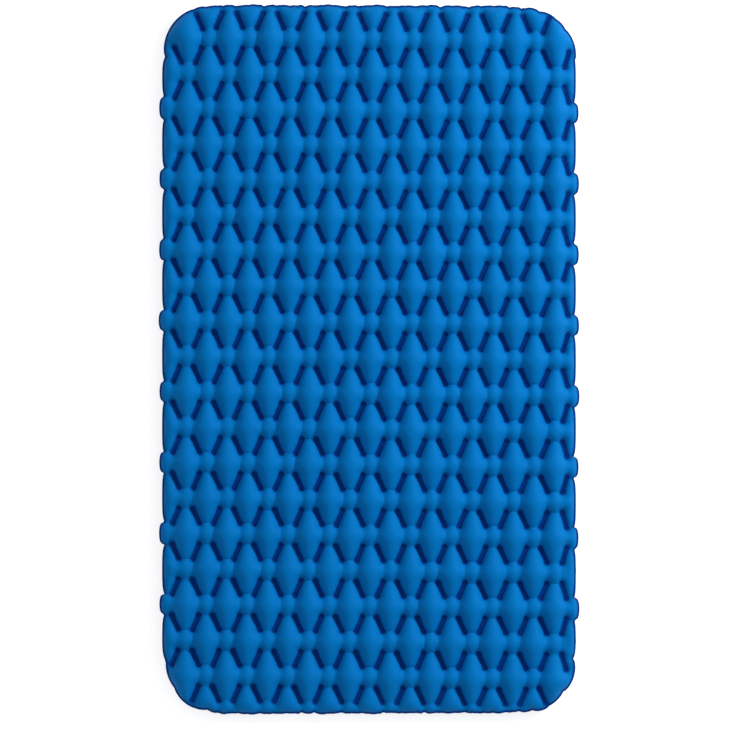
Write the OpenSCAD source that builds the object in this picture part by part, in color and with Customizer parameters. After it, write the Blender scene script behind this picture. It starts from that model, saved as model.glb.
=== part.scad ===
// Two-person inflatable sleeping pad: two coated sheets welded at slots and round
// the edge, with an inflation valve and a deflation valve under one side seam.
// X is across the pad, +Y is the head end and Z is up. The origin is on the ground
// under the middle of the pad.

/* [Pad] */
// Cells across the pad
cells_x = 10; // [4:1:12]
// Cells along the pad
cells_y = 10; // [4:1:12]
// Width of one cell
cell_w = 113.5; // [100:0.5:140]
// Length of one cell
cell_l = 196.5; // [160:0.5:240]
// Thickness of the inflated pad
pad_t = 65; // [62:1:90]
// Thickness of one coated sheet
skin_t = 0.8; // [0.5:0.1:1.2]
// Radius of the pad's corners
corner_r = 150; // [100:5:200]

/* [Cells] */
// Half the width of a cell's flat crown on the ground
crown_x = 10; // [6:1:16]
// Half the length of a cell's flat crown on the ground
crown_y = 16; // [10:1:20]
// Height of the bridges between cells, above the seam
bridge_h = 20.5; // [16:0.5:26]
// Height of the top's necks between the cells and the bridges, above the seam
neck_h = 15; // [10:0.5:18]
// Height of the cells that the seam cuts in half, above the seam
half_cell_h = 12; // [8:0.5:18]
// Length of a weld slot
slot_l = 50; // [40:1:60]
// Angle between a weld slot and the pad's long side
slot_a = 29; // [20:1:34]

/* [Edge] */
// Distance from the outermost column of cells to the side
margin_x = 8; // [4:0.5:16]
// Distance from the end row of cells to the end
margin_y = 2.5; // [0:0.5:10]
// Width of the flat weld round the edge
seam_w = 4; // [2:0.5:8]

/* [Valves] */
// Row of cells that holds the inflation valve, counted from the foot end
inflate_row = 1; // [1:1:3]
// Rows from the inflation valve to the deflation valve
valve_rows = 1; // [1:1:3]
// How far each valve faces down
valve_tilt = 32; // [28:1:36]
// Depth of the valve's seat below the rounded side
seat_depth = 4; // [3.5:0.1:4.5]
// Diameter of the valve's bore
bore_d = 15; // [12:0.5:15.5]
// Diameter of the valve body's rim
rim_d = 21.2; // [20.5:0.1:21.8]
// Height of the rim above the sheet
rim_h = 3; // [2.6:0.1:3.4]
// Wall between the bore and the barrel's outside
barrel_wall = 2; // [1.6:0.1:2.2]
// Length of the barrel inside the sheet
barrel_in = 3.6; // [3.2:0.1:5]
// Depth of the sloped seat for the seal
cone_h = 1.4; // [1.2:0.1:1.5]
// Diameter of the soft flange
flange_d = 27; // [25:0.5:28]
// Thickness of the soft flange
flange_t = 1; // [0.6:0.1:1.2]

/* [Caps] */
// Diameter of a cap's lid
lid_d = 21; // [20:0.1:21.6]
// Thickness of the lid
lid_t = 1.9; // [1.4:0.1:2.2]
// Thickness of the seal ring
seal_d = 1.4; // [1.2:0.1:1.6]
// Diameter of the hinge's pins
hinge_d = 1.8; // [1.4:0.1:2]
// Length of the hinge's knuckle
knuckle_l = 7.2; // [6:0.1:8]
// Thickness of a hinge ear
ear_t = 2.2; // [1.6:0.1:2.6]
// How far the pull tab stands out of the lid
tab_out = 1.7; // [1:0.1:2]
// Width of the pull tab
tab_w = 8; // [6:0.5:10]

/* [Flap] */
// Thickness of the one-way flap
flap_t = 0.8; // [0.6:0.1:1]
// How far the flap covers the edge of the throat
flap_lap = 1; // [0.8:0.1:1.2]
// Width of the ribs across the throat
rib_w = 1; // [0.8:0.1:1.4]
// Diameter of the bead that the flap swings on
bead_d = 1.3; // [1.1:0.1:1.4]

/* [Hidden] */

blue = [0.02, 0.36, 0.66];
dark_blue = [0.02, 0.28, 0.54];
charcoal = [0.16, 0.17, 0.18];
black = [0.07, 0.07, 0.08];
milky = [0.85, 0.86, 0.84];

half_t = pad_t / 2;
cols = 2 * cells_x;
rows = 2 * cells_y;
inflate_r = 2 * inflate_row;
deflate_r = inflate_r + 2 * valve_rows;
body_w = cells_x * cell_w + 2 * margin_x;
body_l = cells_y * cell_l + 2 * margin_y;
weld_gap = 0.02;
weld_h = skin_t + weld_gap;
skirt = 5;
edge_fn = 12;
corner_fn = 24;
flare_h = 6;

run_gap = 0.05;   // running clearance of the hinges, on the radius
face_gap = 0.1;   // clearance between faces that close on each other
hole_gap = 0.1;   // clearance of the flange's neck in the sheet's hole

bore_r = bore_d / 2;
barrel_r = bore_r + barrel_wall;
neck_t = 0.8;
neck_r = barrel_r + neck_t;
lip_t = 0.8;
lip_r = neck_r + 0.6;
barb_out = 0.7;
barb_flat = 0.5;
barb_h = 1.2;
flange_top = -skin_t;
flange_low = flange_top - flange_t;
rim_r = rim_d / 2;
cone_low = rim_h - cone_h;
throat_r = bore_r - 0.5;
throat_h = 1.2;
throat_top = -barrel_in + throat_h;

lid_r = lid_d / 2;
lid_low = rim_h + face_gap;
lid_top = lid_low + lid_t;
seal_r = seal_d / 2;
seal_z = lid_low - seal_r;
seal_mid_r = bore_r + (seal_z - cone_low) - (seal_r + run_gap) * sqrt(2);
boss_r = seal_mid_r - seal_r;
boss_low = cone_low + face_gap;

pin_r = hinge_d / 2;
knuckle_r = pin_r + 0.5;
ear_r = pin_r + 1;
hinge_x = rim_r + knuckle_r + 0.4;
hinge_z = ear_r + 0.3;
ear_gap = 0.2;

flap_r = throat_r + flap_lap;
flap_top = -barrel_in - run_gap;
bead_r = bead_d / 2;
bead_x = barrel_r - 0.1;
bead_z = flap_top - bead_r;
bead_ear_r = bead_r + run_gap + 0.6;
bead_ear_t = 1.2;
bead_gap = 0.2;
flap_neck_w = 5.6;
fine = 64;

// ---- Sheets ----

function col_x(j) = (j - cells_x) * step_x();
function row_y(r) = (r - cells_y) * step_y();
function step_x() = cell_w / 2;
function step_y() = cell_l / 2;

// Cells and bridges alternate along every row and column of the lattice
function is_cell(j, r) = (j + r + cells_x + cells_y + 2 * cols) % 2 == 0;

// The seam halves the cells of the lattice's border. They stay low, apart from the two on the
// ground side that are left full for the valves.
function is_full(j, r, flat) =
    (j > 0 && j < cols && r > 0 && r < rows) || (flat && j == cols && (r == inflate_r || r == deflate_r));
function lattice_h(j, r, flat) = !is_cell(j, r) ? bridge_h : is_full(j, r, flat) ? half_t : half_cell_h;

// Welded surface as a solid from below the seam up to the cells' crowns. Each lattice point
// is a crown (a cell) or lower (a bridge), and each step between four lattice points holds
// one weld slot, from which faces slope up. A flat crown has four corners. A crown that isn't
// flat comes to a point, and has a neck between it and the next bridge along the pad.
module lattice(drop, flat) {
    j0 = -1;
    j1 = cols + 1;
    r0 = -1;
    r1 = rows + 1;
    per_row = j1 - j0 + 1;
    corners = [[crown_x, 0], [0, crown_y], [-crown_x, 0], [0, -crown_y], [0, 0]];
    middle = 4;

    lattice_points = [for (r = [r0 : r1], j = [j0 : j1], c = corners) is_cell(j, r)
        ? [col_x(j) + c[0], row_y(r) + c[1], lattice_h(j, r, flat) - drop]
        : [col_x(j), row_y(r), bridge_h - drop]];
    neck_points = [for (r = [r0 : r1 - 1], j = [j0 : j1]) if (!flat)
        [col_x(j), row_y(r + 0.5), neck_h - drop]];
    // both ends of the slot in the step from (j, r) to (j + 1, r + 1), lower end first
    slot_points = [for (r = [r0 : r1 - 1], j = [j0 : j1 - 1], e = [-1, 1]) let (lean = is_cell(j, r) ? -1 : 1)
        [col_x(j + 0.5) + e * lean * slot_l / 2 * sin(slot_a),
         row_y(r + 0.5) + e * slot_l / 2 * cos(slot_a),
         weld_h - drop]];
    necks_start = len(lattice_points);
    slots_start = necks_start + len(neck_points);

    function p(j, r, k) =
        len(corners) * ((r - r0) * per_row + j - j0) + (flat && is_cell(j, r) ? k : middle);
    // the neck above (j, r), in a list that is empty on a flat lattice
    function neck(j, r) = flat ? [] : [necks_start + (r - r0) * per_row + j - j0];
    function s(j, r, e) = slots_start + 2 * ((r - r0) * (per_row - 1) + j - j0) + e;
    function on_rim(j, r) = j == j0 || j == j1 || r == r0 || r == r1;

    // triangles between neighbours in a list of points and one point that they all face
    function fan(points, tip) = [for (i = [0 : len(points) - 2])
        if (points[i] != points[i + 1]) [points[i], points[i + 1], tip]];
    // slopes of one step, counter-clockwise from above; its lower cell is at column u and its
    // upper one at column v, and k and m are their crown corners that face each other
    function slopes(j, r) = let (
        left = is_cell(j, r), u = left ? j : j + 1, v = left ? j + 1 : j,
        k = left ? 0 : 2, m = 2 - k, lo = s(j, r, 0), hi = s(j, r, 1),
        from_lower = concat(neck(u, r), [p(u, r, 1), p(u, r, k), p(v, r, k)], neck(v, r)),
        from_upper = concat(neck(v, r), [p(v, r + 1, 3), p(v, r + 1, m), p(u, r + 1, k)], neck(u, r)),
        low_end = flat ? concat(p(u, r + 1, k), from_lower) : from_lower,
        high_end = flat ? concat(p(v, r, k), from_upper) : from_upper,
        faces = concat(fan(low_end, lo), fan(high_end, hi),
            [[low_end[0], lo, hi], [high_end[0], hi, lo]]))
        [for (f = faces) left ? f : [f[2], f[1], f[0]]];
    // a whole crown, or the quarters of it that lie inside the lattice's rim
    function crown(j, r) = !on_rim(j, r)
        ? [[for (k = [0 : 3]) p(j, r, k)]]
        : [for (k = [0 : 3])
            let (right = k == 0 || k == 3, upper = k < 2)
            if ((right ? j < j1 : j > j0) && (upper ? r < r1 : r > r0))
                [p(j, r, middle), p(j, r, k), p(j, r, (k + 1) % 4)]];
    // the rim's points at one lattice point, which it reaches at corner k and leaves at corner m
    function stop(j, r, k, m) = flat && is_cell(j, r)
        ? [p(j, r, k), p(j, r, middle), p(j, r, m)]
        : [p(j, r, middle)];
    rim = concat(
        [for (j = [j0 : j1 - 1]) each stop(j, r0, j == j0 ? 1 : 2, 0)],
        [for (r = [r0 : r1 - 1]) each concat(stop(j1, r, r == r0 ? 2 : 3, 1), neck(j1, r))],
        [for (j = [j1 : -1 : j0 + 1]) each stop(j, r1, j == j1 ? 3 : 0, 2)],
        [for (r = [r1 : -1 : r0 + 1]) each concat(stop(j0, r, r == r1 ? 0 : 1, 3), neck(j0, r - 1))]);
    upper_points = concat(lattice_points, neck_points, slot_points);
    n = len(upper_points);
    m = len(rim);
    faces = concat(
        [for (r = [r0 : r1 - 1], j = [j0 : j1 - 1]) each slopes(j, r)],
        [for (r = [r0 : r1], j = [j0 : j1]) if (flat && is_cell(j, r)) each crown(j, r)],
        [for (k = [0 : m - 1]) [rim[k], n + k, n + (k + 1) % m, rim[(k + 1) % m]]],
        [[for (k = [m - 1 : -1 : 0]) n + k]]);
    // polyhedron() takes its faces clockwise
    polyhedron(
        concat(upper_points, [for (k = rim) [upper_points[k][0], upper_points[k][1], -skirt]]),
        [for (f = faces) [for (k = [len(f) - 1 : -1 : 0]) f[k]]],
        convexity = 10);
}

// Whatever is given, at the middle of each of the four rounded corners
module at_corners() {
    for (sx = [-1, 1], sy = [-1, 1])
        translate([sx * (body_w / 2 - corner_r), sy * (body_l / 2 - corner_r)]) children();
}

// Body with round edges, inset all round: what the lattice is cut out of
module envelope(inset) {
    r = half_t - inset;
    hull() at_corners() rotate_extrude($fn = corner_fn)
        intersection() {
            union() {
                translate([corner_r - half_t, 0]) circle(r, $fn = edge_fn);
                translate([0, -r]) square([corner_r - half_t, 2 * r]);
            }
            square([corner_r, r]);
        }
}

// Flat plate out to the edge of the weld; all of it but the border lies inside the body
module weld_plate() {
    hull() at_corners() cylinder(h = skin_t, r = corner_r + seam_w, $fn = corner_fn);
}

// One sheet as a hollow shell above the seam, with flat crowns where it lies on the ground.
// The first child is cut out of it, and the second stays solid behind that cut.
module sheet(flat) {
    difference() {
        union() {
            intersection() {
                lattice(0, flat);
                envelope(0);
            }
            weld_plate();
        }
        difference() {
            intersection() {
                lattice(skin_t, flat);
                envelope(skin_t);
            }
            children(1);
        }
        children(0);
    }
}

module top_sheet() {
    color(blue) translate([0, 0, half_t]) resize([0, 0, half_t]) sheet(false) {
        union() {}
        union() {}
    }
}

module bottom_sheet() {
    color(dark_blue) translate([0, 0, half_t]) resize([0, 0, half_t]) mirror([0, 0, 1]) sheet(true) {
        mirror([0, 0, 1]) translate([0, 0, -half_t]) at_valves() seat_cut();
        mirror([0, 0, 1]) translate([0, 0, -half_t]) at_valves() seat_backing();
    }
}

// ---- Where the valves sit ----

valve_d = half_t - seat_depth;
valve_x = body_w / 2 - half_t + valve_d * cos(valve_tilt);
valve_z = half_t - valve_d * sin(valve_tilt);
inflate_y = row_y(inflate_r);
deflate_y = row_y(deflate_r);

// A valve's own frame: Z out of the pad, -X up towards the seam, 0 on the sheet's face
module at_valve(y) {
    translate([valve_x, y, valve_z]) rotate([0, 90 + valve_tilt, 0]) children();
}

module at_valves() {
    for (y = [inflate_y, deflate_y]) at_valve(y) children();
}

// The flat seat, the hole for the flange's neck, and the room for the flange behind them
module seat_cut() {
    cylinder(h = flare_h, r1 = flange_d / 2 + 0.8, r2 = flange_d / 2 + 0.8 + flare_h, $fn = 32);
    cylinder(h = 4 * skin_t, r = neck_r + hole_gap, center = true, $fn = 32);
    translate([0, 0, flange_low]) cylinder(h = flange_t - weld_gap, r = flange_d / 2 + hole_gap, $fn = 32);
}

// What stays solid behind the seat, so that the sheet keeps its thickness there
module seat_backing() {
    translate([0, 0, -skin_t])
        cylinder(h = flare_h, r1 = flange_d / 2 + 1, r2 = flange_d / 2 + 1 + flare_h, $fn = 32);
}

// ---- Valve parts, each in the valve's own frame ----

// Soft flange: a disc welded inside the sheet, with a neck and a lip that grip the hole
module flange() {
    rotate_extrude($fn = fine) polygon([
        [barrel_r, flange_low], [flange_d / 2, flange_low], [flange_d / 2, flange_top],
        [neck_r, flange_top], [neck_r, 0], [lip_r, 0], [lip_r - 0.3, lip_t], [barrel_r, lip_t]
    ]);
}

// Hard ring with the bore: a rim on the lip, and a barb that snaps in below the flange
module valve_ring(with_throat) {
    difference() {
        union() {
            rotate_extrude($fn = fine) polygon([
                [0, -barrel_in], [barrel_r, -barrel_in], [barrel_r, flange_low - barb_h],
                [barrel_r + barb_out, flange_low - barb_flat], [barrel_r + barb_out, flange_low],
                [barrel_r, flange_low], [barrel_r, lip_t], [rim_r, lip_t],
                [rim_r, rim_h - 0.4], [rim_r - 0.4, rim_h], [0, rim_h]
            ]);
            for (side = [-1, 1]) cap_ear(side);
        }
        translate([0, 0, with_throat ? throat_top : -barrel_in - 1])
            cylinder(h = rim_h + barrel_in + 2, r = bore_r, $fn = fine);
        translate([0, 0, cone_low])
            cylinder(h = cone_h + 0.02, r1 = bore_r, r2 = bore_r + cone_h + 0.02, $fn = fine);
        if (with_throat)
            translate([0, 0, -barrel_in - 1]) cylinder(h = throat_h + 2, r = throat_r, $fn = fine);
    }
}

// Ear that holds one pin of the cap's hinge
module cap_ear(side) {
    y = side * (knuckle_l / 2 + ear_gap + ear_t / 2);
    difference() {
        union() {
            translate([-hinge_x, y, hinge_z]) rotate([90, 0, 0])
                cylinder(h = ear_t, r = ear_r, center = true, $fn = 32);
            translate([-hinge_x, y - ear_t / 2, lip_t])
                cube([hinge_x - sqrt(rim_r * rim_r - y * y) + 1, ear_t, rim_h - face_gap - lip_t]);
        }
        translate([-hinge_x, y, hinge_z]) rotate([90, 0, 0])
            cylinder(h = ear_t + 1, r = pin_r + run_gap, center = true, $fn = 32);
    }
}

// Ear that holds one end of the flap's bead, below the barrel
module bead_ear(side) {
    y = side * (flap_neck_w / 2 + bead_gap + bead_ear_t / 2);
    difference() {
        union() {
            translate([-bead_x, y, bead_z]) rotate([90, 0, 0])
                cylinder(h = bead_ear_t, r = bead_ear_r, center = true, $fn = 32);
            translate([-bead_x - bead_ear_r, y - bead_ear_t / 2, bead_z])
                cube([2 * bead_ear_r, bead_ear_t, -barrel_in - bead_z + 0.5]);
        }
        translate([-bead_x, y, bead_z]) rotate([90, 0, 0])
            cylinder(h = bead_ear_t + 1, r = bead_r + run_gap, center = true, $fn = 32);
    }
}

// Ribs across the throat, which the flap rests on
module ribs() {
    intersection() {
        translate([0, 0, -barrel_in]) cylinder(h = throat_h, r = throat_r + 0.2, $fn = fine);
        union() {
            for (turn = [0, 90]) rotate([0, 0, turn])
                translate([-bore_r, -rib_w / 2, -barrel_in]) cube([bore_d, rib_w, throat_h]);
            translate([0, 0, -barrel_in]) cylinder(h = throat_h, r = 1.8 * rib_w, $fn = 32);
        }
    }
}

module inflate_ring() {
    valve_ring(true);
    ribs();
    for (side = [-1, 1]) bead_ear(side);
}

// Silicone flap with the bead that it swings on
module flap() {
    translate([0, 0, flap_top - flap_t]) cylinder(h = flap_t, r = flap_r, $fn = fine);
    translate([-bead_x, -flap_neck_w / 2, flap_top - flap_t])
        cube([bead_x - flap_r + 1.5, flap_neck_w, flap_t]);
    translate([-bead_x, 0, bead_z]) rotate([90, 0, 0])
        cylinder(h = flap_neck_w + 2 * (bead_gap + bead_ear_t), r = bead_r, center = true, $fn = 32);
}

// Lid, boss for the seal ring, pull tab, and an arm with the hinge's knuckle and pins
module cap() {
    rotate_extrude($fn = fine) polygon([
        [0, boss_low], [boss_r, boss_low], [boss_r, lid_low], [lid_r, lid_low],
        [lid_r, lid_top - 0.6], [lid_r - 0.6, lid_top], [0, lid_top]
    ]);
    translate([lid_r - 2, -tab_w / 2, lid_low + 0.4]) cube([2 + tab_out, tab_w, lid_t - 0.9]);
    translate([-hinge_x, -knuckle_l / 2, lid_low])
        cube([hinge_x - lid_r + 2, knuckle_l, lid_t - 0.6]);
    translate([-hinge_x, 0, hinge_z]) rotate([90, 0, 0]) {
        cylinder(h = knuckle_l, r = knuckle_r, center = true, $fn = 32);
        cylinder(h = knuckle_l + 2 * (ear_gap + ear_t), r = pin_r, center = true, $fn = 32);
    }
}

// Seal ring round the cap's boss, which closes on the bore's sloped seat
module cap_seal() {
    translate([0, 0, seal_z]) rotate_extrude($fn = fine)
        translate([seal_mid_r, 0]) circle(seal_r, $fn = 32);
}

module inflate_flange() { color(charcoal) at_valve(inflate_y) flange(); }
module inflate_body() { color(charcoal) at_valve(inflate_y) inflate_ring(); }
module inflate_flap() { color(milky) at_valve(inflate_y) flap(); }
module inflate_cap() { color(charcoal) at_valve(inflate_y) cap(); }
module inflate_cap_seal() { color(black) at_valve(inflate_y) cap_seal(); }
module deflate_flange() { color(charcoal) at_valve(deflate_y) flange(); }
module deflate_body() { color(charcoal) at_valve(deflate_y) valve_ring(false); }
module deflate_cap() { color(charcoal) at_valve(deflate_y) cap(); }
module deflate_cap_seal() { color(black) at_valve(deflate_y) cap_seal(); }

top_sheet();
bottom_sheet();
inflate_flange();
inflate_body();
inflate_flap();
inflate_cap();
inflate_cap_seal();
deflate_flange();
deflate_body();
deflate_cap();
deflate_cap_seal();
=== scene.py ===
# %% [markdown]
# # An inflated sleeping pad, made the way the air makes it
#
# The pad is two flat sheets of coated nylon, welded together at 396 short slots and all round
# the edge. Nothing in it is carved: every cell, bridge and dimple is what a flat sheet does when
# the air pushes it up between its welds. So this script doesn't model the cells. It lays out the
# welds, covers the plan with one triangle mesh that has their outlines in it, and lets a small
# cloth solver inflate that mesh. The bottom sheet is the same form turned over, pressed flat
# where it stands on the floor and laid over the seats of its two valves.
#
# All sizes are in millimetres until a mesh is made, which is in metres. X runs across the pad,
# +Y is the head end, and Z is up from the floor.

# %% The tools and the frame
import math
import time

import bpy
import numpy as np
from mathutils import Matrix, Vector
from mathutils.geometry import delaunay_2d_cdt


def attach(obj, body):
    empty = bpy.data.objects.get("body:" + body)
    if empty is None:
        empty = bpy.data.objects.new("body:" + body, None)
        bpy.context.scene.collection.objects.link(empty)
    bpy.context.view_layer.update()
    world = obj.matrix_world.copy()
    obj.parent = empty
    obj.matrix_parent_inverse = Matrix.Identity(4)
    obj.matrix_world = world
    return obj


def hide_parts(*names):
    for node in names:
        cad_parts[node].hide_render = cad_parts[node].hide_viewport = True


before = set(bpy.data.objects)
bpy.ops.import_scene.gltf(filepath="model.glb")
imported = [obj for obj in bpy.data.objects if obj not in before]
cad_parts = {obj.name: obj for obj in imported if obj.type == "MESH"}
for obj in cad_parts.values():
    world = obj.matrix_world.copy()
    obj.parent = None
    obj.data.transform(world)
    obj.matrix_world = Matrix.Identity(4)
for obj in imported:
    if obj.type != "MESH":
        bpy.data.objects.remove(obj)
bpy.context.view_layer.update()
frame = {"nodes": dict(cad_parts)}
print("nodes:", ", ".join(frame["nodes"]))

# %% [markdown]
# ## The plan
#
# Seen from above the pad is a rounded rectangle. These sizes repeat those of the CAD part. The
# distance to this outline is used again and again below, so it comes first.

# %% The outline
HALF_W, HALF_L = 575.5, 985.0  # of the air chamber, to the seam
HALF_T = 32.5  # of the whole pad; the seam runs at this height
CORNER_R = 150.0


def rounded_distance(points):
    """Signed distance from the rounded rectangle, negative inside.

    With q = |p| - (half size - corner radius), d = |max(q, 0)| + min(max(q), 0) - corner radius.
    """
    q = np.abs(points) - (np.array([HALF_W, HALF_L]) - CORNER_R)
    return np.linalg.norm(np.maximum(q, 0), axis=1) + np.minimum(q.max(1), 0) - CORNER_R


print(f"the air chamber is {2 * HALF_W:.0f} x {2 * HALF_L:.0f} x {2 * HALF_T:.0f} mm")

# %% [markdown]
# ## Where the welds are
#
# The slots stand at the middle of every step of a 20 by 20 lattice and lean one way and the
# other in turn, like brickwork turned on its corner. The press that welds them takes the sheets
# a little askew, so the whole pattern is stretched by half a percent and turned by about half a
# degree against the edge. Two small functions go from the lattice to the sheet and back, and
# everything that follows the pattern uses them.

# %% From the lattice to the sheet and back
STEPS = 20  # slots across, and also along
STEP = np.array([56.75, 98.25])  # from one slot to the next, across and along
ASKEW = np.array([[1.005, 0.005], [-0.012, 1.005]])  # stretches and turns the pattern
ASIDE = np.array([5.0, 2.5])  # from the pad's middle to the pattern's


def on_sheet(lattice_points):
    """Points of the lattice as they lie on the sheet: p' = A p + b."""
    return lattice_points @ ASKEW.T + ASIDE


def on_lattice(sheet_points):
    """The way back: p = A^-1 (p' - b)."""
    return (sheet_points - ASIDE) @ np.linalg.inv(ASKEW).T


turn = math.degrees(math.atan2(ASKEW[0, 1] - ASKEW[1, 0], ASKEW[0, 0] + ASKEW[1, 1]))
print(f"the pattern is turned clockwise by {turn:.2f} degrees")

# %% [markdown]
# Each slot is a short flat weld with round ends. It is a little wider at its ends, where the
# welding bar holds its heat longer. The last column, beside the seam that has the valves, stands
# steeper than the others.

# %% The slots
SLOT_L, SLOT_W = 56.5, 10.2
SLOT_FLARE = 0.25  # how much wider a slot is at its ends, as a share
SLOT_ANGLE = math.radians(23)
VALVE_SIDE_ANGLE = math.radians(17)  # of the last column
FAR = 99.0  # stands for a distance that is too large to matter
END_R = SLOT_W / 2 * (1 + SLOT_FLARE)  # radius of a slot's round ends
SLOT_REACH = SLOT_L / 2 - END_R  # from a slot's middle to the middle of either end
SLOT_CLEAR = 24.0  # of a slot's middle from the outline; nearer ones aren't welded
END_CLEAR = 5.5  # of a slot's end from the outline; the corners push some slots in to keep it


def slots_at(step):
    """Centres on the sheet, and directions, of the slots of these (n, 2) steps of the lattice, and
    which of them are there at all, because the rounded corners cut some off.

    Step (j, r) has its centre at ((j + 1/2) * step_x, (r + 1/2) * step_y) from the lattice's
    corner, and leans left where j + r is even and right where it is odd. A slot whose end would
    come too near to the outline is pushed back along its own length.
    """
    angle = np.where(step[:, 0] == STEPS - 1, VALVE_SIDE_ANGLE, SLOT_ANGLE)
    angle = np.where(step.sum(1) % 2 == 0, -angle, angle)
    centre = on_sheet((step + 0.5 - STEPS / 2) * STEP)
    direction = np.stack([np.sin(angle), np.cos(angle)], 1)
    there = rounded_distance(centre) < -SLOT_CLEAR
    for end in (direction, -direction):
        beyond = rounded_distance(centre + SLOT_REACH * end) + END_R + END_CLEAR
        centre = centre - end * np.maximum(beyond, 0)[:, None]
    return centre, direction, there


def slot_centres():
    """Centres and directions of all slots."""
    centre, direction, there = slots_at(np.argwhere(np.ones((STEPS, STEPS))))
    return centre[there], direction[there]


def slot_half_width(along):
    """Half a slot's width at a distance from its middle: w / 2 * (1 + flare * (t / reach)^4)."""
    return SLOT_W / 2 * (1 + SLOT_FLARE * (along / SLOT_REACH) ** 4)


def slot_distance(points):
    """Distance of each point from the edge of the slot in its own step, negative inside it."""
    step = np.clip(np.floor(on_lattice(points) / STEP + STEPS / 2), 0, STEPS - 1)
    centre, direction, there = slots_at(step)
    offset = points - centre
    along = np.clip((offset * direction).sum(1), -SLOT_REACH, SLOT_REACH)
    distance = np.linalg.norm(offset - along[:, None] * direction, axis=1) - slot_half_width(along)
    return np.where(there, distance, FAR)


def slot_outline(centre, direction):
    """Closed outline of one slot: two sides that flare a little, with a round end between them.

    It is half of the outline, as distances along and across the slot, and then the same half
    turned by 180 degrees.
    """
    side = np.linspace(-SLOT_REACH, SLOT_REACH, 10)
    turn = np.radians([36, 72, 108, 144])
    along = np.concatenate([side, SLOT_REACH + END_R * np.sin(turn)])
    across = np.concatenate([slot_half_width(side), END_R * np.cos(turn)])
    half = np.outer(along, direction) + np.outer(across, [direction[1], -direction[0]])
    return centre + np.concatenate([half, -half])


print(f"{len(slot_centres()[0])} of {STEPS ** 2} slots; the corners cut off the others")

# %% [markdown]
# The seam isn't straight either. Where a bridge meets a long side, its air pushes the seam out in
# a lobe, and beside each lobe the last slot pulls it in to a notch. The short ends have small
# scallops and a dip at each slot's end. Each corner is a chain of wide lobes, with notches where
# its outermost slots end. So the seam is the rounded rectangle plus a wave, which is a formula
# for each side and each corner.

# %% The seam
SEAM_W = 4.0  # of the weld all round the edge
SEAM_STEP = 4.0  # between the seam's points
SIDE_PULL = 2.7  # how far the air draws the long sides in
END_PULL = 1.0  # and the short ends
END_TAPER = 0.004  # the ends draw together towards the side with the valves
LOBE_REACH, LOBE_HEIGHT = (30.0, 2.0), (8.5, 1.5)  # of a long side's lobes, mean and spread
NOTCH_DEPTH = (5.5, 1.5)  # of the notches beside a lobe
NOTCH_FADE, NOTCH_RISE = 13.0, 3.0  # how far a notch eases out, away from the lobe and under it
DIP_DEPTH, DIP_REACH = (3.0, 2.5), 6.0  # of the dip that each slot's end makes in a short end
DIP_LEAN = 0.2  # of a slot's end from the middle of its step, in steps
SCALLOP_HEIGHT, SCALLOP_DROP = 1.6, 1.4  # the drop brings a short end's mean back to the line
SWELL_HEIGHT = 0.8
SIDE_FADE, END_FADE = 20.0, 30.0  # over which a side's wave dies away towards the corners


def vary(size, share):
    """A size that varies from place to place: mean + spread * share, with a share from -1 to 1."""
    return size[0] + size[1] * share


def side_wave(line, varied):
    """How far the seam stands out of a long side, at points of that side.

    At every odd row of the lattice it is a lobe, height * sqrt(1 - (t / reach)^2) at a distance t
    from the row, and beyond the lobe a notch, depth * exp(-(|t| - reach) / fade), that eases out.
    """
    y = on_lattice(line)[:, 1]
    row = np.round((y / STEP[1] - 1) / 2)
    from_row = np.abs(y - (2 * row + 1) * STEP[1])
    which = row.astype(int) % len(varied)
    reach = vary(LOBE_REACH, varied[which])
    bow = np.sqrt(np.clip(1 - (from_row / reach) ** 2, 0, 1))
    lobe = vary(LOBE_HEIGHT, varied[which - 3]) * bow
    beyond = from_row - reach
    ease = np.exp(-np.where(beyond > 0, beyond / NOTCH_FADE, -beyond / NOTCH_RISE))
    notch = vary(NOTCH_DEPTH, varied[which - 5]) * ease
    fade = np.clip((HALF_L - CORNER_R - np.abs(line[:, 1])) / SIDE_FADE, 0, 1)
    return (lobe - notch) * fade - SIDE_PULL


def end_wave(line, varied):
    """The same for a short end: small scallops, two to a step, a dip at the end of each slot, and
    swellings between them. The ends draw together a little towards the side with the valves.

    A scallop is |sin(2 pi x / step + phase)|, a dip is depth * exp(-(t / reach)^2) at a distance t
    from the slot's end, and the swellings are two slow sine waves.
    """
    place = on_lattice(line)[:, 0] / STEP[0]
    slot = np.floor(place).astype(int)
    share = varied[slot % len(varied)]
    lean = np.where(slot % 2 == 0, DIP_LEAN, -DIP_LEAN)
    from_end = ((place % 1) - 0.5 - lean) * STEP[0]
    dip = vary(DIP_DEPTH, share) * np.exp(-((from_end / DIP_REACH) ** 2))
    scallop = SCALLOP_HEIGHT * np.abs(np.sin(2 * math.pi * place + share))
    swell = SWELL_HEIGHT * np.sin(2.3 * place + 1) + SWELL_HEIGHT * np.sin(5.1 * place)
    fade = np.clip((HALF_W - CORNER_R + END_FADE - np.abs(line[:, 0])) / END_FADE, 0, 1)
    wave = swell + scallop - SCALLOP_DROP - dip
    return wave * fade - END_PULL - END_TAPER * line[:, 0]


print(f"a lobe is about {2 * LOBE_REACH[0]:.0f} mm wide and stands out by {LOBE_HEIGHT[0]} mm")

# %% The corners
# Notches of each corner, counter-clockwise from the upper right one: the angle along the corner
# in degrees, how far the seam stands out there, and the height of the lobe that follows.
CORNER_NOTCHES = (
    ((0, -2, 5), (35, -3, 2.5), (50, -3, 4), (70, -8.5, 5), (86, -8, 0), (90, -4.5, 0)),
    ((0, -2.5, 0), (12, -3, 3), (24, 0, 9), (86, -8.5, 0), (90, -4.5, 0)),
    ((0, -7, 0), (5, -10, 2), (35, -10.5, 4.5), (66, -4.5, 2), (80, -11, 2), (90, -4, 0)),
    ((0, -3, 2), (12, -6, 6), (30, 0, 2.5), (52, -4, 8.5), (90, -7.5, 0)),
)


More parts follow.
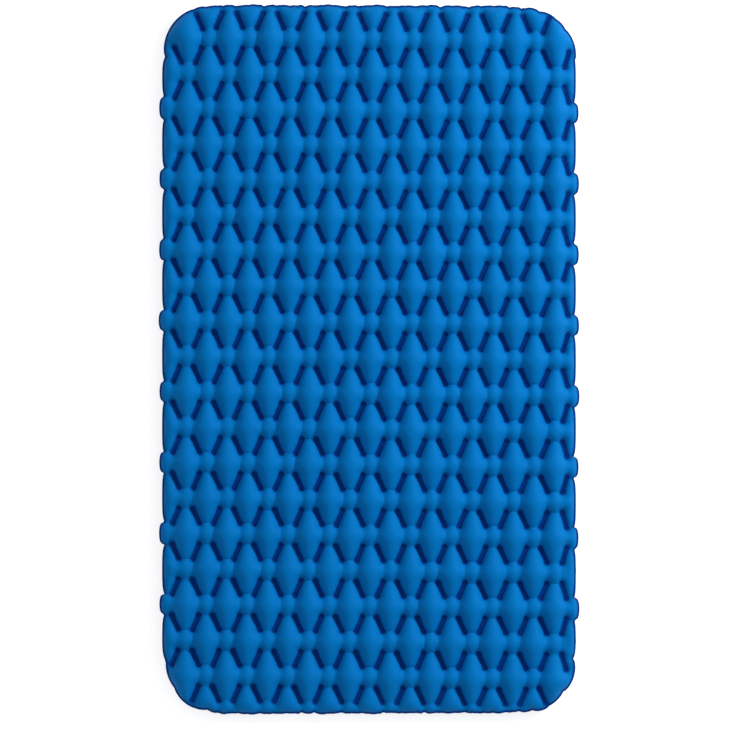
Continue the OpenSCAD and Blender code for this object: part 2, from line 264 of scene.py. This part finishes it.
def corner_wave(angle, notches):
    """How far the seam stands out at angles in degrees along one corner.

    Between two notches, at a and b, it is the straight line from level to level plus
    lobe * sqrt(sin(pi * t)), with t = (angle - a) / (b - a).
    """
    at, level, lobe = np.array(notches, float).T
    k = np.clip(np.searchsorted(at, angle, "right") - 1, 0, len(at) - 2)
    t = (angle - at[k]) / (at[k + 1] - at[k])
    lobes = lobe[k] * np.sqrt(np.sin(math.pi * np.clip(t, 0, 1)))
    return level[k] + (level[k + 1] - level[k]) * t + lobes


print("notches in the four corners:", [len(notches) for notches in CORNER_NOTCHES])

# %% The whole outline
def edge_outline(grow):
    """Points one seam step apart along the seam, grown outwards, counter-clockwise from the right.

    The four sides and the four quarter circles each run by arc length, and every point is then
    moved along the outward normal by its side's wave. A quarter circle's wave runs from that of
    the side before it to that of the side after it, and has its corner's notches and lobes. The
    first and the last of these notches fade out along the sides, as exp(-distance / fade).
    """
    random = np.random.default_rng(11)
    a, b = HALF_W - CORNER_R, HALF_L - CORNER_R
    points, normals, waves = [], [], []
    straight = [((HALF_W, -b), (0, 1), 2 * b), ((a, HALF_L), (-1, 0), 2 * a),
                ((-HALF_W, b), (0, -1), 2 * b), ((-a, -HALF_L), (1, 0), 2 * a)]
    arc_centres = [(a, b), (-a, b), (-a, -b), (a, -b)]
    for side in range(4):
        start, along, length = straight[side]
        t = np.arange(0, length, SEAM_STEP)[:, None]
        line = np.array(start) + t * np.array(along)
        normal = np.tile([along[1], -along[0]], (len(line), 1)).astype(float)
        varied = random.uniform(-1, 1, 12)
        wave = (side_wave if side % 2 == 0 else end_wave)(line, varied)
        level_before, level_after = CORNER_NOTCHES[side - 1][-1][1], CORNER_NOTCHES[side][0][1]
        wave += level_before * np.exp(-t[:, 0] / NOTCH_FADE)
        wave += level_after * np.exp((t[:, 0] - length) / NOTCH_FADE)
        quarter = CORNER_R * math.pi / 2
        part = np.arange(0, quarter, SEAM_STEP) / quarter
        angle = math.pi / 2 * (side + part)
        round_normal = np.stack([np.cos(angle), np.sin(angle)], 1)
        end_level = -END_PULL - END_TAPER * (a if side in (0, 3) else -a)
        before, after = (-SIDE_PULL, end_level) if side % 2 == 0 else (end_level, -SIDE_PULL)
        points += [line, np.array(arc_centres[side]) + CORNER_R * round_normal]
        normals += [normal, round_normal]
        corner = corner_wave(90 * part, CORNER_NOTCHES[side])
        waves += [wave, before + (after - before) * part + corner]
    points, normals, waves = (np.concatenate(x) for x in (points, normals, waves))
    return points + normals * (waves + grow)[:, None]


seam_points = edge_outline(0)
seam_length = np.linalg.norm(seam_points - np.roll(seam_points, 1, 0), axis=1).sum()
print(f"the seam is {seam_length / 1000:.2f} m long and has {len(seam_points)} points")

# %% [markdown]
# ## Where the valves sit
#
# Two flat valves sit under the right-hand seam, near the foot end. Each is welded to the inside
# of the bottom sheet with a soft flange, and looks out and down, tilted as the side of the pad is.

# %% The valves
VALVE_TILT = math.radians(32)
VALVE_ROWS = (2, 4)  # lattice rows of the inflation and the deflation valve, from the foot
SEAT_DEPTH = 4.0  # of the seat behind the round side of the pad
SEAT_R = 14.3  # of the flat seat
BLEND_R = 2.4 * SEAT_R  # where the seat no longer shapes the cloth
HOLE_R = 10.35  # of the hole for the flange's neck
FLANGE_WELD_R, FLANGE_WELD_W = 13.2, 0.9  # of the ring where the flange is welded on
FLANGE_WELD_DARK = 0.7  # how dark that ring is, where a slot's weld is 1
HOLE_CUT = 0.4  # a triangle goes if its middle is further than this inside the hole's edge
SEAM_HOLDS = 0.7  # share of the way from the seam to the seat on which the seam holds the cloth
SLOT_HOLDS = 9.0  # how far around a slot its weld does the same


def valve_place(row):
    """Middle of a valve's seat, and the direction up along the seat.

    The seat is at reach = half thickness - seat depth from the axis of the pad's round side, in
    the direction (cos tilt, 0, -sin tilt), which is also the way the valve looks.
    """
    reach = HALF_T - SEAT_DEPTH
    c, s = math.cos(VALVE_TILT), math.sin(VALVE_TILT)
    row_y = (row - STEPS / 2) * STEP[1]
    middle = np.array([HALF_W - HALF_T + reach * c, row_y, HALF_T - reach * s])
    return middle, np.array([s, 0, c])


for row in VALVE_ROWS:
    print(f"valve in row {row}: seat at", np.round(valve_place(row)[0], 1))

# %% [markdown]
# ## One mesh of the whole plan
#
# A constrained Delaunay triangulation takes loose points and outlines, and gives triangles whose
# edges follow the outlines exactly. The loose points are a slightly shaken grid of equilateral
# triangles, so no direction of the cloth is stiffer than another. Beside the valves, where the
# sheet stands steeply and is seen from close by, the points are three times as dense.

# %% Loose points
SPACING = 5.05  # between the mesh's points
CLEARANCE = 0.55  # of a loose point from every outline, as a share of the spacing
DENSE_INWARDS, DENSE_ALONG = 48, 34  # reach of the dense points, from the seam and from the valve
OUTWARDS, INWARDS = 14, 16  # the seam's waves stay between these, out and in of the rounded plan
GRID_MARGIN, WINDOW_MARGIN = 12, 2  # of both grids, outwards


def triangle_grid(x0, x1, y0, y1, spacing, random):
    """Points of an equilateral grid in a rectangle, each shaken by an eighth of the spacing."""
    xs, ys = np.arange(x0, x1, spacing), np.arange(y0, y1, spacing * math.sqrt(0.75))
    x, y = np.meshgrid(xs, ys)
    x[1::2] += spacing / 2
    points = np.stack([x.ravel(), y.ravel()], 1)
    return points + random.uniform(-spacing / 8, spacing / 8, points.shape)


def inside_outline(points, outline):
    """Even-odd test: a point is inside if a ray to the right crosses the outline an odd number of
    times."""
    result = np.zeros(len(points), bool)
    for (x1, y1), (x2, y2) in zip(outline, np.roll(outline, -1, 0)):
        spans = (y1 > points[:, 1]) != (y2 > points[:, 1])
        crossing = x1 + (x2 - x1) * (points[spans, 1] - y1) / (y2 - y1)
        result[spans] ^= points[spans, 0] < crossing
    return result


def outline_distance(points, outline, chunk=4000):
    """Distance of each point from the nearest point of a closely sampled outline."""
    result = np.empty(len(points))
    for k in range(0, len(points), chunk):
        part = points[k:k + chunk, None] - outline[None]
        result[k:k + chunk] = np.sqrt((part ** 2).sum(2).min(1))
    return result


def loose_points(seam, spacing):
    """Grid points inside the seam that keep clear of it and of the slots.

    A window round each valve has a grid three times as dense instead. Only the points near the
    seam, where the rounded rectangle alone doesn't decide, are tested against the seam itself.
    """
    random = np.random.default_rng(3)
    half_w, half_l = HALF_W + GRID_MARGIN, HALF_L + GRID_MARGIN
    coarse = triangle_grid(-half_w, half_w, -half_l, half_l, spacing, random)
    parts = [(coarse, np.full(len(coarse), spacing))]
    fine = spacing / 3
    for row in VALVE_ROWS:
        row_y = valve_place(row)[0][1]
        x0, x1 = HALF_W - DENSE_INWARDS, HALF_W + WINDOW_MARGIN
        y0, y1 = row_y - DENSE_ALONG, row_y + DENSE_ALONG
        for k, (points, gaps) in enumerate(parts):
            x, y = points.T
            outside = (x < x0) | (x > x1) | (y < y0) | (y > y1)
            parts[k] = (points[outside], gaps[outside])
        dense = triangle_grid(x0, x1, y0, y1, fine, random)
        parts.append((dense, np.full(len(dense), fine)))
    points, gap = (np.concatenate(x) for x in zip(*parts))
    distance = rounded_distance(points)
    kept = distance < OUTWARDS
    points, gap, distance = points[kept], gap[kept], distance[kept]
    clear = slot_distance(points) > CLEARANCE * gap
    edge = distance > -INWARDS
    near = points[edge]
    clear[edge] &= inside_outline(near, seam)
    clear[edge] &= outline_distance(near, seam) > CLEARANCE * gap[edge]
    return points[clear]


print(f"the mesh's points are {SPACING} mm apart, and {SPACING / 3:.1f} mm beside the valves")

# %% The mesh
def plan_mesh():
    """Points and triangles of the whole plan, and masks of its welded and its outermost points."""
    seam, rim = edge_outline(0), edge_outline(SEAM_W)
    slots = [slot_outline(c, d) for c, d in zip(*slot_centres())]
    loops = [seam, rim] + slots
    edges, start = [], 0
    for loop in loops:
        n = len(loop)
        edges += [(start + i, start + (i + 1) % n) for i in range(n)]
        start += n
    points = np.concatenate([np.array(x) for x in loops] + [loose_points(seam, SPACING)])
    found = delaunay_2d_cdt([Vector(p) for p in points.tolist()], edges, [], 0, 1e-5)
    points = np.array([tuple(v) for v in found[0]])
    triangles = np.array([f[:] for f in found[2]])
    on_rim = (triangles >= len(seam)) & (triangles < len(seam) + len(rim))
    triangles = triangles[~on_rim.all(1)]
    a, b, c = (points[triangles[:, k]] for k in range(3))
    turn = (b - a)[:, 0] * (c - a)[:, 1] - (b - a)[:, 1] * (c - a)[:, 0]
    triangles[turn < 0] = triangles[turn < 0][:, ::-1]
    which = np.arange(len(points))
    return points, triangles, which < start, (which >= len(seam)) & (which < len(seam) + len(rim))


plan, triangles, welded, on_rim = plan_mesh()
from_slot = slot_distance(plan)
from_seam = np.full(len(plan), FAR)
beside_seam = rounded_distance(plan) > -30
from_seam[beside_seam] = outline_distance(plan[beside_seam], seam_points)
print(f"{len(plan)} points, of which {welded.sum()} are welded, and {len(triangles)} triangles")

# %% [markdown]
# ## Inflating it
#
# Every edge of the mesh is a thread. The flat sheet is larger than the inflated plan, by an
# eighth across and a twenty-fifth along, because a sheet that rises between its welds pulls them
# together. In each round the air pushes every free point along the surface's normal, and then each
# thread that is too long pulls its two ends together. A thread that is too short hardly
# pushes back, because cloth buckles. The welded points never move. Blender's own cloth would do
# this too, but it can't hold 396 welds still and be as quick.

# %% The cloth solver
EASE = np.array([1.12, 1.04])  # length of flat cloth to a length of the inflated plan
UNEVEN = 0.03  # share by which the cloth's own length varies, in slow crossing waves
ROUNDS = 110
PUSH = 0.02  # of the air, in each round
DAMPING = 0.9  # share of its last step that a point keeps
BUCKLED = 0.15  # share of its error that a thread in compression still mends
PULL = 1.5  # over-relaxation of the threads' pull
SMOOTHING = 0.4  # share of the way to its neighbours' mean that a point goes at the end


def gather(index, values, count):
    """Sum of the rows of values at each index."""
    return np.stack([np.bincount(index, values[:, k], count) for k in range(3)], 1)


def inflate(plan, triangles, welded):
    """Places of the plan's points once the air is in, with z from the seam's plane.

    Thread k between points i and j has the rest length |((ease_x * dx), (ease_y * dy))| and the
    error e = 1 - rest / length. Each round moves the points by damping * their last step plus
    push * the normals of their triangles, added up by area, and then three times by pull * the
    mean of e * (p_j - p_i) / 2 over their threads, where a welded point leaves its half to the
    other end. Two last rounds move each point a share of the way to the mean of its neighbours,
    which takes the mesh's own zigzag out of the creases.
    """
    count = len(plan)
    threads = np.concatenate([triangles[:, pair] for pair in ([0, 1], [1, 2], [2, 0])])
    threads = np.unique(np.sort(threads, 1), axis=0)
    threads = threads[~welded[threads].all(1)]
    i, j = threads.T
    x, y = ((plan[i] + plan[j]) / 2).T
    uneven = np.sin(x / 41 + 2 * np.sin(y / 97)) * np.sin(y / 63 + 1.7 * np.sin(x / 71))
    rest = np.linalg.norm((plan[j] - plan[i]) * EASE, axis=1) * (1 + UNEVEN * uneven)
    free = (~welded).astype(float)
    share_i, share_j = free[i] / (free[i] + free[j]), free[j] / (free[i] + free[j])
    pulls = np.maximum(np.bincount(i, free[i], count) + np.bincount(j, free[j], count), 1)
    place = np.column_stack([plan, free])
    last = place.copy()
    face_area = SPACING ** 2 * math.sqrt(0.75)
    for step in range(ROUNDS):
        if step % 3 == 0:
            a, b, c = (place[triangles[:, k]] for k in range(3))
            face = np.cross(b - a, c - a) / (2 * face_area)
            air = sum(gather(triangles[:, k], face, count) for k in range(3))
            air *= PUSH * free[:, None]
        moved = place + DAMPING * (place - last) + air
        last, place = place, moved
        for _ in range(3):
            thread = place[j] - place[i]
            error = 1 - rest / np.maximum(np.linalg.norm(thread, axis=1), 1e-6)
            thread *= np.where(error > 0, error, BUCKLED * error)[:, None]
            pull = gather(i, thread * share_i[:, None], count)
            pull -= gather(j, thread * share_j[:, None], count)
            place += PULL * pull * (free / pulls)[:, None]
        place[:, 2] = np.maximum(place[:, 2], 0)
    ends = np.concatenate([i, j]), np.concatenate([j, i])
    neighbours = np.maximum(np.bincount(ends[0], minlength=count), 1)[:, None]
    for _ in range(2):
        mean = gather(ends[0], place[ends[1]], count) / neighbours
        place += SMOOTHING * (mean - place) * free[:, None]
    return place


flat_w, flat_l = 2 * EASE * np.array([HALF_W, HALF_L])
print(f"a flat sheet is {flat_w:.0f} x {flat_l:.0f} mm inside its seam")

# %% Air
FLATTENED = 1.0  # by so much the floor presses the lower crowns flat
started = time.time()
puffed = inflate(plan, triangles, welded)
print(f"inflated in {time.time() - started:.0f} s")
print(f"the cells rise {puffed[:, 2].max():.1f} mm over the seam")
puffed[:, 2] *= (HALF_T + FLATTENED) / puffed[:, 2].max()
from_weld = np.maximum(np.minimum(from_slot, from_seam), 0)

# %% [markdown]
# ## The two sheets
#
# The top sheet is the inflated form as it is. The bottom one is the same form turned over. It
# stops at the floor, which flattens the crown of each cell a little. Each vertex carries two
# numbers for the material: how much it is painted in the welds' darker colour, which is the weld
# itself plus painted shade that fades out beside it, in the grooves of the slots and along the
# seam, and how near to a weld it is.

# %% From arrays to an object
CREASE = math.radians(55)  # an edge that turns by more stays sharp


def to_object(name, points, faces, body, replaced, **attributes):
    """A smooth mesh object, in metres, that rides on a body and stands for a CAD node."""
    mesh = bpy.data.meshes.new(name)
    mesh.vertices.add(len(points))
    mesh.vertices.foreach_set("co", (points / 1000).ravel())
    mesh.loops.add(faces.size)
    mesh.loops.foreach_set("vertex_index", faces.ravel())
    mesh.polygons.add(len(faces))
    mesh.polygons.foreach_set("loop_start", np.arange(0, faces.size, 3))
    mesh.polygons.foreach_set("use_smooth", np.ones(len(faces), bool))
    for key, values in attributes.items():
        mesh.attributes.new(key, "FLOAT", "POINT").data.foreach_set("value", values)
    mesh.update(calc_edges=True)
    mesh.validate()
    mesh.set_sharp_from_angle(angle=CREASE)
    piece = bpy.data.objects.new(name, mesh)
    bpy.context.scene.collection.objects.link(piece)
    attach(piece, body)
    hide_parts(replaced)
    return piece

# %% [markdown]
# At each valve the bottom sheet lies flat on the flange and has a hole for the flange's neck. The
# cloth there hangs from the seam, so its place on the flat seat follows from its distance from the
# seam. Between the seat and the free cloth the two forms are blended, which leaves a round boss.

# %% The cloth over a valve
def smooth_step(low, high, value):
    """0 below low and 1 above high, with level ends: 3 t^2 - 2 t^3."""
    t = np.clip((value - low) / (high - low), 0, 1)
    return t * t * (3 - 2 * t)


def seat_valve(points, faces, weld, row):
    """Lays the bottom sheet over one valve's seat and cuts the hole.

    The cloth hangs from the seam, so a point at a distance x from the seam and y from the valve's
    row has on the seat's plane the place u = (gap + seat radius) - x * ease_x, v = y * ease_y,
    measured from the seat's middle, where gap is the cloth between the seam and the seat. With
    d = sqrt(u^2 + v^2), a point moves to that place by the share
    (1 - smooth_step(seat radius, blend radius, d)), less near the seam and the slots, which never
    move. The flange's weld darkens the cloth by exp(-((d - weld radius) / weld width)^2).
    """
    middle, up = valve_place(row)
    seam = np.array([HALF_W - SIDE_PULL, middle[1], HALF_T])
    gap = np.linalg.norm(seam - middle - SEAT_R * up)
    inwards = seam[0] - plan[:, 0]
    flat = np.stack([gap + SEAT_R - inwards * EASE[0], (plan[:, 1] - middle[1]) * EASE[1]], 1)
    distance = np.linalg.norm(flat, axis=1)
    in_hole = distance[faces].mean(1) < HOLE_R - HOLE_CUT
    lip = np.intersect1d(faces[in_hole], faces[~in_hole])
    flat[lip] *= (HOLE_R / distance[lip])[:, None]
    share = 1 - smooth_step(SEAT_R, BLEND_R, distance)
    held = smooth_step(0, SEAM_HOLDS * gap / EASE[0], inwards)
    held *= smooth_step(0, SLOT_HOLDS, from_slot)
    share *= held * ~welded
    on_seat = middle + flat[:, :1] * up + flat[:, 1:] * np.array([0, 1, 0])
    points += (on_seat - points) * share[:, None]
    ring = np.exp(-(((distance - FLANGE_WELD_R) / FLANGE_WELD_W) ** 2))
    weld[:] = np.maximum(weld, FLANGE_WELD_DARK * ring * ~welded)
    return faces[~in_hole]

# %% Both sheets
WELD_GAP = 0.3  # from a sheet's face to the middle of a weld, so that neither sheet shows through
# Past the weld itself, the darker cloth is painted shade of the groove beside each slot and of the
# seam's edge, fading out over the first of these two distances.
WELD_SHADE_FADE, PUCKER_FADE = 2.5, 9.0  # how far around a weld the cloth is darker, and puckered
gap = WELD_GAP * ~on_rim
# Painted shade and weld: 1 on the welds, falling off beside them as painted shade.
weld = np.where(welded, 1, np.exp(-from_weld / WELD_SHADE_FADE))
weld_near = np.exp(-from_weld / PUCKER_FADE)

top_points = puffed + np.array([0, 0, HALF_T])
top_points[:, 2] += gap
top_sheet = to_object("top_sheet_nylon", top_points, triangles, "pad", "top_sheet",
                      weld=weld, near_weld=weld_near)

low_points = puffed * np.array([1, 1, -1]) + np.array([0, 0, HALF_T])
low_points[:, 2] = np.maximum(low_points[:, 2] - gap, 0)
low_faces, low_weld = triangles[:, ::-1], weld.copy()
for row in VALVE_ROWS:
    low_faces = seat_valve(low_points, low_faces, low_weld, row)
bottom_sheet = to_object("bottom_sheet_nylon", low_points, np.ascontiguousarray(low_faces), "pad",
                         "bottom_sheet", weld=low_weld, near_weld=weld_near)

for sheet, slot in ((top_sheet, "nylon_top"), (bottom_sheet, "nylon_bottom")):
    box = [round(1000 * x) for x in sheet.dimensions]
    print(f"{sheet.name}: {len(sheet.data.polygons)} faces, {box} mm")

# %% [markdown]
# ## Materials
#
# One function adds a node and fills in its sockets. Colours are written as the hex values that
# a paint program shows, and are turned into the linear values that Blender's sockets take.

# %% Colours and nodes
def linear(code):
    """Linear RGBA of a #RRGGBB colour: c / 12.92 below 0.04045, else ((c + 0.055) / 1.055)^2.4."""
    parts = (int(code[k:k + 2], 16) / 255 for k in (1, 3, 5))
    light = (c / 12.92 if c <= 0.04045 else ((c + 0.055) / 1.055) ** 2.4 for c in parts)
    return tuple(light) + (1.0,)


def add(tree, kind, inputs=None, **settings):
    """Adds a node. An input's value is a constant for its socket, or another node's output."""
    node = tree.nodes.new(kind)
    for key, value in settings.items():
        setattr(node, key, value)
    for key, value in (inputs or {}).items():
        if isinstance(value, bpy.types.NodeSocket):
            tree.links.new(value, node.inputs[key])
        else:
            node.inputs[key].default_value = value
    return node


def new_material(name):
    """An empty material and its node tree, without the nodes that Blender puts there."""
    material = bpy.data.materials.new(name)
    material.use_nodes = True
    material.node_tree.nodes.clear()
    return material, material.node_tree


print("#0074C1 is", [round(c, 3) for c in linear("#0074C1")[:3]], "in linear light")

# %% [markdown]
# Both sheets are nylon taffeta with a coating on the inside, which gives a soft sheen and no
# mirror. Real threads lie 0.2 mm apart, too fine to show, so the weave is drawn six times as
# coarse. The dye varies a little over the width of a hand, and the cloth puckers beside the welds.

# %% Coated nylon
THREAD_MM = 1.2  # between the threads as drawn
WAVE_RADIANS = 20  # in one unit of a wave texture, at a scale of 1
DYE_MM = 110  # width of a patch of darker or paler dye
PUCKER_MM = 10.5


def nylon(name, cloth, weld_colour):
    """Coated nylon taffeta: a plain weave, small puckers beside the welds, and smoother welds,
    where the coatings of both sheets have melted into one. The welds are painted darker, partly
    for their own fused coating and partly as painted shade of the grooves they lie in.

    The weave is the product of two sine waves, one along each thread direction. A wave texture's
    period is 2 pi / (20 * scale), so its scale is 2 pi / (20 * period), in metres.
    """
    material, tree = new_material(name)
    place = add(tree, "ShaderNodeTexCoord").outputs["Object"]
    weld_amount = add(tree, "ShaderNodeAttribute", attribute_name="weld").outputs["Fac"]
    near = add(tree, "ShaderNodeAttribute", attribute_name="near_weld").outputs["Fac"]
    shade = add(tree, "ShaderNodeTexNoise", {
        "Vector": place, "Scale": 1000 / DYE_MM, "Detail": 3.0}).outputs["Fac"]
    tone = add(tree, "ShaderNodeMapRange", {
        "Value": shade, "To Min": 0.94, "To Max": 1.06}).outputs["Result"]
    cloth_tone = add(tree, "ShaderNodeVectorMath", {
        0: linear(cloth)[:3], "Scale": tone}, operation="SCALE").outputs[0]
    # Painted shade: the darker weld colour lies on the welds and fades out beside them, darkening
    # the slots' grooves and the seam as well as the welds themselves.
    colour = add(tree, "ShaderNodeMix", {
        "Factor": weld_amount, "A": cloth_tone, "B": linear(weld_colour)}, data_type="RGBA")
    threads = {"Vector": place, "Scale": 2 * math.pi * 1000 / (WAVE_RADIANS * THREAD_MM)}
    warp = add(tree, "ShaderNodeTexWave", threads, bands_direction="X").outputs["Fac"]
    weft = add(tree, "ShaderNodeTexWave", threads, bands_direction="Y").outputs["Fac"]
    weave = add(tree, "ShaderNodeMath", {0: warp, 1: weft}, operation="MULTIPLY").outputs[0]
    fine = add(tree, "ShaderNodeBump", {
        "Height": weave, "Strength": 0.3, "Distance": 0.0003}).outputs[0]
    pucker = add(tree, "ShaderNodeTexNoise", {
        "Vector": place, "Scale": 1000 / PUCKER_MM, "Detail": 2.0}).outputs["Fac"]
    pulled = add(tree, "ShaderNodeMath", {0: pucker, 1: near}, operation="MULTIPLY").outputs[0]
    bumps = add(tree, "ShaderNodeBump", {
        "Height": pulled, "Strength": 0.35, "Distance": 0.002, "Normal": fine}).outputs[0]
    rough = add(tree, "ShaderNodeMapRange", {
        "Value": weld_amount, "To Min": 0.62, "To Max": 0.5}).outputs["Result"]
    surface = add(tree, "ShaderNodeBsdfPrincipled", {
        "Base Color": colour.outputs[2], "Roughness": rough, "Normal": bumps,
        "Specular IOR Level": 0.2, "Specular Tint": linear("#6CA4DC")})
    add(tree, "ShaderNodeOutputMaterial", {"Surface": surface.outputs[0]})
    return material

# %% [markdown]
# The valves are moulded: the body and cap of hard nylon, the flange of soft TPU, the flap of
# silicone, which is milky and lets some light in, and the seal of black rubber. The mould's grain
# shows as fine unevenness in the gloss.

# %% Moulded plastic and rubber
GRAIN_MM = 1.1  # from one spot of the mould's grain to the next


def moulded(name, colour, roughness, grain=0.2, through=0.0):
    """Injection-moulded plastic or rubber, which takes the fine grain of its steel mould; through
    lets light into it, as in silicone."""
    material, tree = new_material(name)
    place = add(tree, "ShaderNodeTexCoord").outputs["Object"]
    speckle = add(tree, "ShaderNodeTexNoise", {
        "Vector": place, "Scale": 1000 / GRAIN_MM, "Detail": 2.0}).outputs["Fac"]
    bumps = add(tree, "ShaderNodeBump", {
        "Height": speckle, "Strength": grain, "Distance": 0.0002}).outputs[0]
    surface = add(tree, "ShaderNodeBsdfPrincipled", {
        "Base Color": linear(colour), "Roughness": roughness, "Normal": bumps,
        "Subsurface Weight": through, "Subsurface Scale": 0.002})
    add(tree, "ShaderNodeOutputMaterial", {"Surface": surface.outputs[0]})
    return material


def paint(piece, material):
    """Gives every material slot of a piece this material."""
    if not piece.material_slots:
        piece.data.materials.append(material)
    for place in piece.material_slots:
        place.material = material

# %% Every piece gets its material
# The second colour of each sheet is partly the fused welds' own darker blue and partly painted
# shade of the slots' grooves and of the seam.
paint(top_sheet, nylon("coated_nylon_blue", "#0074C1", "#00307C"))
paint(bottom_sheet, nylon("coated_nylon_deep_blue", "#005C9A", "#00386A"))

valve_plastic = moulded("moulded_nylon_black", "#26282B", 0.42)
soft_plastic = moulded("soft_tpu_black", "#1C1E21", 0.55, grain=0.1)
silicone = moulded("milky_silicone", "#D9DBD6", 0.35, grain=0.0, through=0.6)
seal_rubber = moulded("seal_rubber_black", "#121214", 0.5, grain=0.05)

for node, piece in frame["nodes"].items():
    if node.endswith("seal"):
        paint(piece, seal_rubber)
    elif node.endswith("flap"):
        paint(piece, silicone)
    elif node.endswith("flange"):
        paint(piece, soft_plastic)
    elif not node.endswith("sheet"):
        paint(piece, valve_plastic)
print("materials:", ", ".join(material.name for material in bpy.data.materials if material.users))

# %% [markdown]
# ## Floor, light and camera
#
# The floor is white and shows nothing from below, so a view from under it isn't blocked, and it
# throws a little of the room's light back up under the pad. One large soft lamp stands to the
# upper right, low enough to leave the lower left flank of each cell in the dark, which is what
# draws the cells. The camera looks straight down from far away.

# %% White that gives the pad little light
def seen_directly(tree):
    """1 for a ray from the camera, a reflection or a clear material, 0 for a ray of soft light."""
    path = add(tree, "ShaderNodeLightPath").outputs
    mirror = add(tree, "ShaderNodeMath", {0: path["Is Camera Ray"], 1: path["Is Glossy Ray"]},
                 operation="MAXIMUM").outputs[0]
    return add(tree, "ShaderNodeMath", {0: mirror, 1: path["Is Transmission Ray"]},
               operation="MAXIMUM").outputs[0]


def floor_material(glow, bounce):
    """White paper from above, and nothing at all from below.

    The paper that is seen adds a glow to the light that falls on it, so it is white wherever the
    lamp reaches it, and pale grey in the pad's shadow. The glow gives the pad no light, only the
    weaker bounce does.
    """
    material, tree = new_material("white_paper_floor")
    geometry = add(tree, "ShaderNodeNewGeometry")
    paper = add(tree, "ShaderNodeBsdfDiffuse", {"Color": linear("#E8E8E8")})
    level = add(tree, "ShaderNodeMapRange", {
        "Value": seen_directly(tree), "To Min": bounce, "To Max": glow})
    light = add(tree, "ShaderNodeEmission", {
        "Color": linear("#FFFFFF"), "Strength": level.outputs["Result"]})
    both = add(tree, "ShaderNodeAddShader", {0: paper.outputs[0], 1: light.outputs[0]})
    clear = add(tree, "ShaderNodeBsdfTransparent")
    sides = add(tree, "ShaderNodeMixShader", {
        0: geometry.outputs["Backfacing"], 1: both.outputs[0], 2: clear.outputs[0]})
    add(tree, "ShaderNodeOutputMaterial", {"Surface": sides.outputs[0]})
    return material


def white_world(strength):
    """A world that lights by strength, and that the camera and reflections see as plain white."""
    world = bpy.data.worlds.new("white_room")
    world.use_nodes = True
    tree = world.node_tree
    tree.nodes.clear()
    level = add(tree, "ShaderNodeMapRange", {
        "Value": seen_directly(tree), "To Min": strength, "To Max": 1.0})
    back = add(tree, "ShaderNodeBackground", {
        "Color": linear("#FFFFFF"), "Strength": level.outputs["Result"]})
    add(tree, "ShaderNodeOutputWorld", {"Surface": back.outputs[0]})
    return world

# %% A lamp
def lamp(name, place, size_m, watts):
    """A square area lamp that faces the pad's middle."""
    light = bpy.data.lights.new(name, "AREA")
    light.size, light.energy = size_m, watts
    holder = bpy.data.objects.new(name, light)
    holder.location = place
    holder.rotation_mode = "QUATERNION"
    holder.rotation_quaternion = (-Vector(place)).to_track_quat("-Z", "Y")
    bpy.context.scene.collection.objects.link(holder)

# %% The room
FLOOR_REACH = 9  # m, from its middle to its sides
floor_mesh = bpy.data.meshes.new("floor")
corners = [(x * FLOOR_REACH, y * FLOOR_REACH, 0) for x, y in ((-1, -1), (1, -1), (1, 1), (-1, 1))]
floor_mesh.from_pydata(corners, [], [(0, 1, 2, 3)])
floor = bpy.data.objects.new("floor", floor_mesh)
bpy.context.scene.collection.objects.link(floor)
paint(floor, floor_material(glow=0.66, bounce=0.25))

scene = bpy.context.scene
scene.world = white_world(strength=0.46)
scene.view_settings.view_transform = "Standard"
lamp("key", place=(4.6, 2.9, 3.4), size_m=1.4, watts=300)
key = bpy.data.lights["key"]
print(f"key lamp: {key.energy:.0f} W, {key.size:.1f} m wide")

# %% The camera
camera = bpy.data.objects.new("camera", bpy.data.cameras.new("camera"))
camera.data.lens, camera.data.sensor_width = 210, 36  # mm
camera.data.clip_end = 100  # m
camera.location = (-0.0028, -0.024, 12.0)  # m, a little left of the pad's middle and below it
scene.collection.objects.link(camera)
scene.camera = camera
seen = camera.location.z * camera.data.sensor_width / camera.data.lens
print(f"it sees {seen:.2f} m of the floor")
